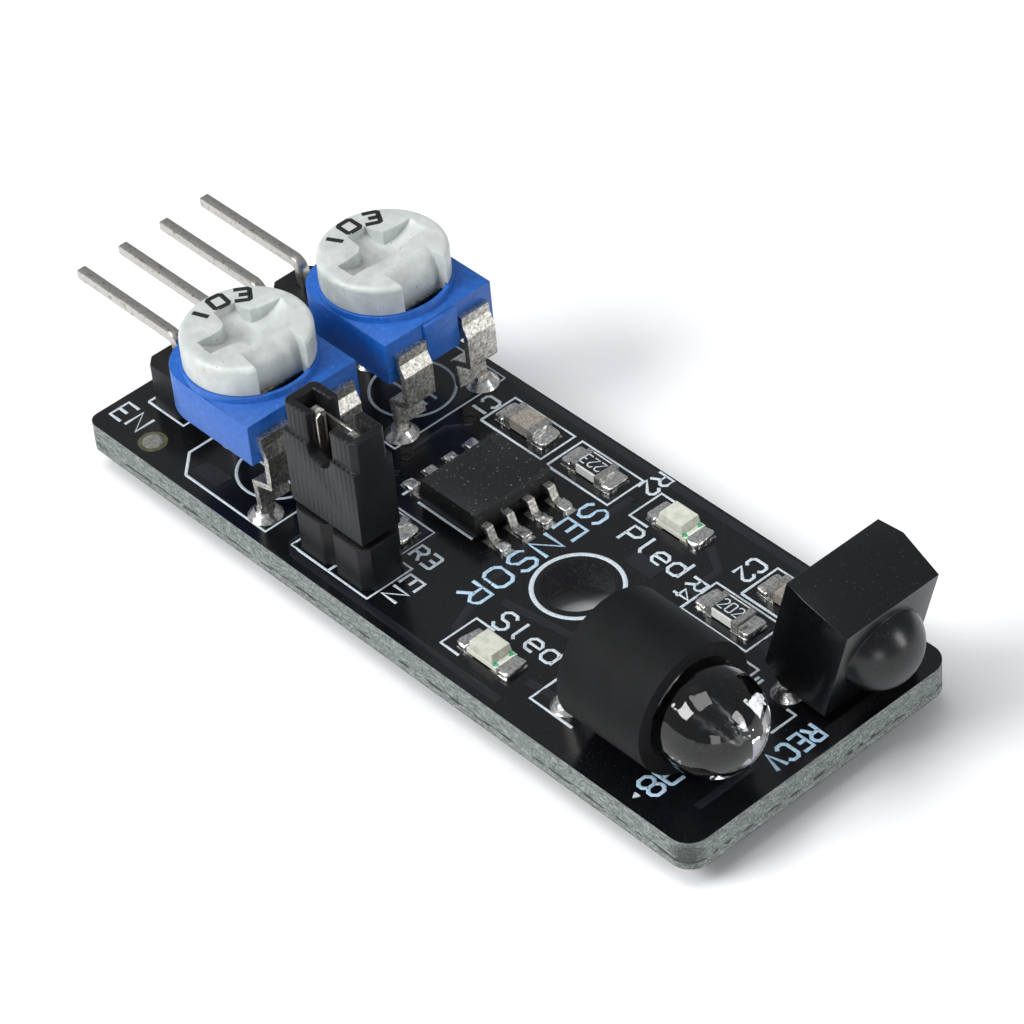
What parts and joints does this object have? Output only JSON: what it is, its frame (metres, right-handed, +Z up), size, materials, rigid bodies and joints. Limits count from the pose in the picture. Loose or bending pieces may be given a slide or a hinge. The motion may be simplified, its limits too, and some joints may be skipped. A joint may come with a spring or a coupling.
{
  "type": "infrared obstacle sensor module",
  "caption": "Small black circuit board with a clear infrared emitter in a sleeve, a domed receiver, blue dial trimmers, a timer chip, a right-angle pin header and an enable jumper.",
  "frame": {"origin": "the mounting hole's axis at the board's underside", "axes": "+X along the board towards the emitter and receiver, +Y towards the receiver, +Z up out of the component side"},
  "size_m": [0.0473, 0.016, 0.0114],
  "materials": {
    "alumina": "fired ceramic",
    "black_glaze": "fired glaze",
    "cap_plastic": "moulded satin, ribbed",
    "capacitor_ceramic": "fired ceramic",
    "carbon_track": "printed carbon",
    "clear_epoxy": "clear cast resin",
    "contact_bronze": "rolled phosphor bronze",
    "fibreglass": "sawn glass-fibre edge",
    "header_plastic": "moulded satin",
    "led_base": "moulded",
    "led_lens": "translucent resin",
    "moulding_compound": "fine matt",
    "receiver_epoxy": "polished moulding",
    "rotor_white": "moulded nylon",
    "silicon": "polished",
    "sleeve_rubber": "matt extruded",
    "solder": "bright solder",
    "solder_mask": "glossy black",
    "tinned_pad": "hot tinned",
    "tinned_pin": "bright tin",
    "tinned_strip": "tinned strip",
    "trimmer_blue": "moulded"
  },
  "bodies": {
    "board": {"board_laminate": "fibreglass", "capacitor_c1": "capacitor_ceramic", "capacitor_c2": "capacitor_ceramic", "chip_end_caps": "tinned_strip", "copper_pads_bottom": "tinned_pad", "copper_pads_top": "tinned_pad", "header_block": "header_plastic", "header_pin_1": "tinned_pin", "header_pin_2": "tinned_pin", "header_pin_3": "tinned_pin", "header_pin_4": "tinned_pin", "ir_led_anode_lead": "tinned_pin", "ir_led_cathode_lead": "tinned_pin", "ir_led_die": "silicon", "ir_led_lens": "clear_epoxy", "ir_led_sleeve": "sleeve_rubber", "jumper_header_block": "header_plastic", "jumper_pin_1": "tinned_pin", "jumper_pin_2": "tinned_pin", "led_terminals": "tinned_strip", "power_led_base": "led_base", "power_led_lens": "led_lens", "receiver_body": "receiver_epoxy", "receiver_die": "silicon", "receiver_lead_1": "tinned_pin", "receiver_lead_2": "tinned_pin", "receiver_lead_3": "tinned_pin", "resistor_glazes": "black_glaze", "resistor_r2": "alumina", "resistor_r3": "alumina", "resistor_r4": "alumina", "signal_led_base": "led_base", "signal_led_lens": "led_lens", "solder_fillets": "solder", "solder_joints": "solder", "solder_mask_bottom": "solder_mask", "solder_mask_top": "solder_mask", "timer_chip_body": "moulding_compound", "timer_chip_die": "silicon", "timer_chip_leads": "tinned_strip", "trimmer_1_housing": "trimmer_blue", "trimmer_1_terminal_a": "tinned_strip", "trimmer_1_terminal_b": "tinned_strip", "trimmer_1_track": "carbon_track", "trimmer_1_wiper_terminal": "tinned_strip", "trimmer_2_housing": "trimmer_blue", "trimmer_2_terminal_a": "tinned_strip", "trimmer_2_terminal_b": "tinned_strip", "trimmer_2_track": "carbon_track", "trimmer_2_wiper_terminal": "tinned_strip"},
    "trimmer_1_dial": {"trimmer_1_rotor": "rotor_white", "trimmer_1_wiper": "contact_bronze"},
    "trimmer_2_dial": {"trimmer_2_rotor": "rotor_white", "trimmer_2_wiper": "contact_bronze"},
    "jumper": {"jumper_cap": "cap_plastic", "jumper_contact": "contact_bronze"}
  },
  "joints": [
    {"name": "trimmer_1_turn", "type": "hinge", "parent": "board", "child": "trimmer_1_dial", "pos_m": [-0.0172, -0.00396, 0.0081], "axis": [0, 0, 1], "range_deg": [-105, 105]},
    {"name": "trimmer_2_turn", "type": "hinge", "parent": "board", "child": "trimmer_2_dial", "pos_m": [-0.01695, 0.00409, 0.0081], "axis": [0, 0, 1], "range_deg": [-105, 105]},
    {"name": "jumper_pull", "type": "slide", "parent": "board", "child": "jumper", "axis": [0, 0, 1], "range_m": [0, 0.006]}
  ]
}
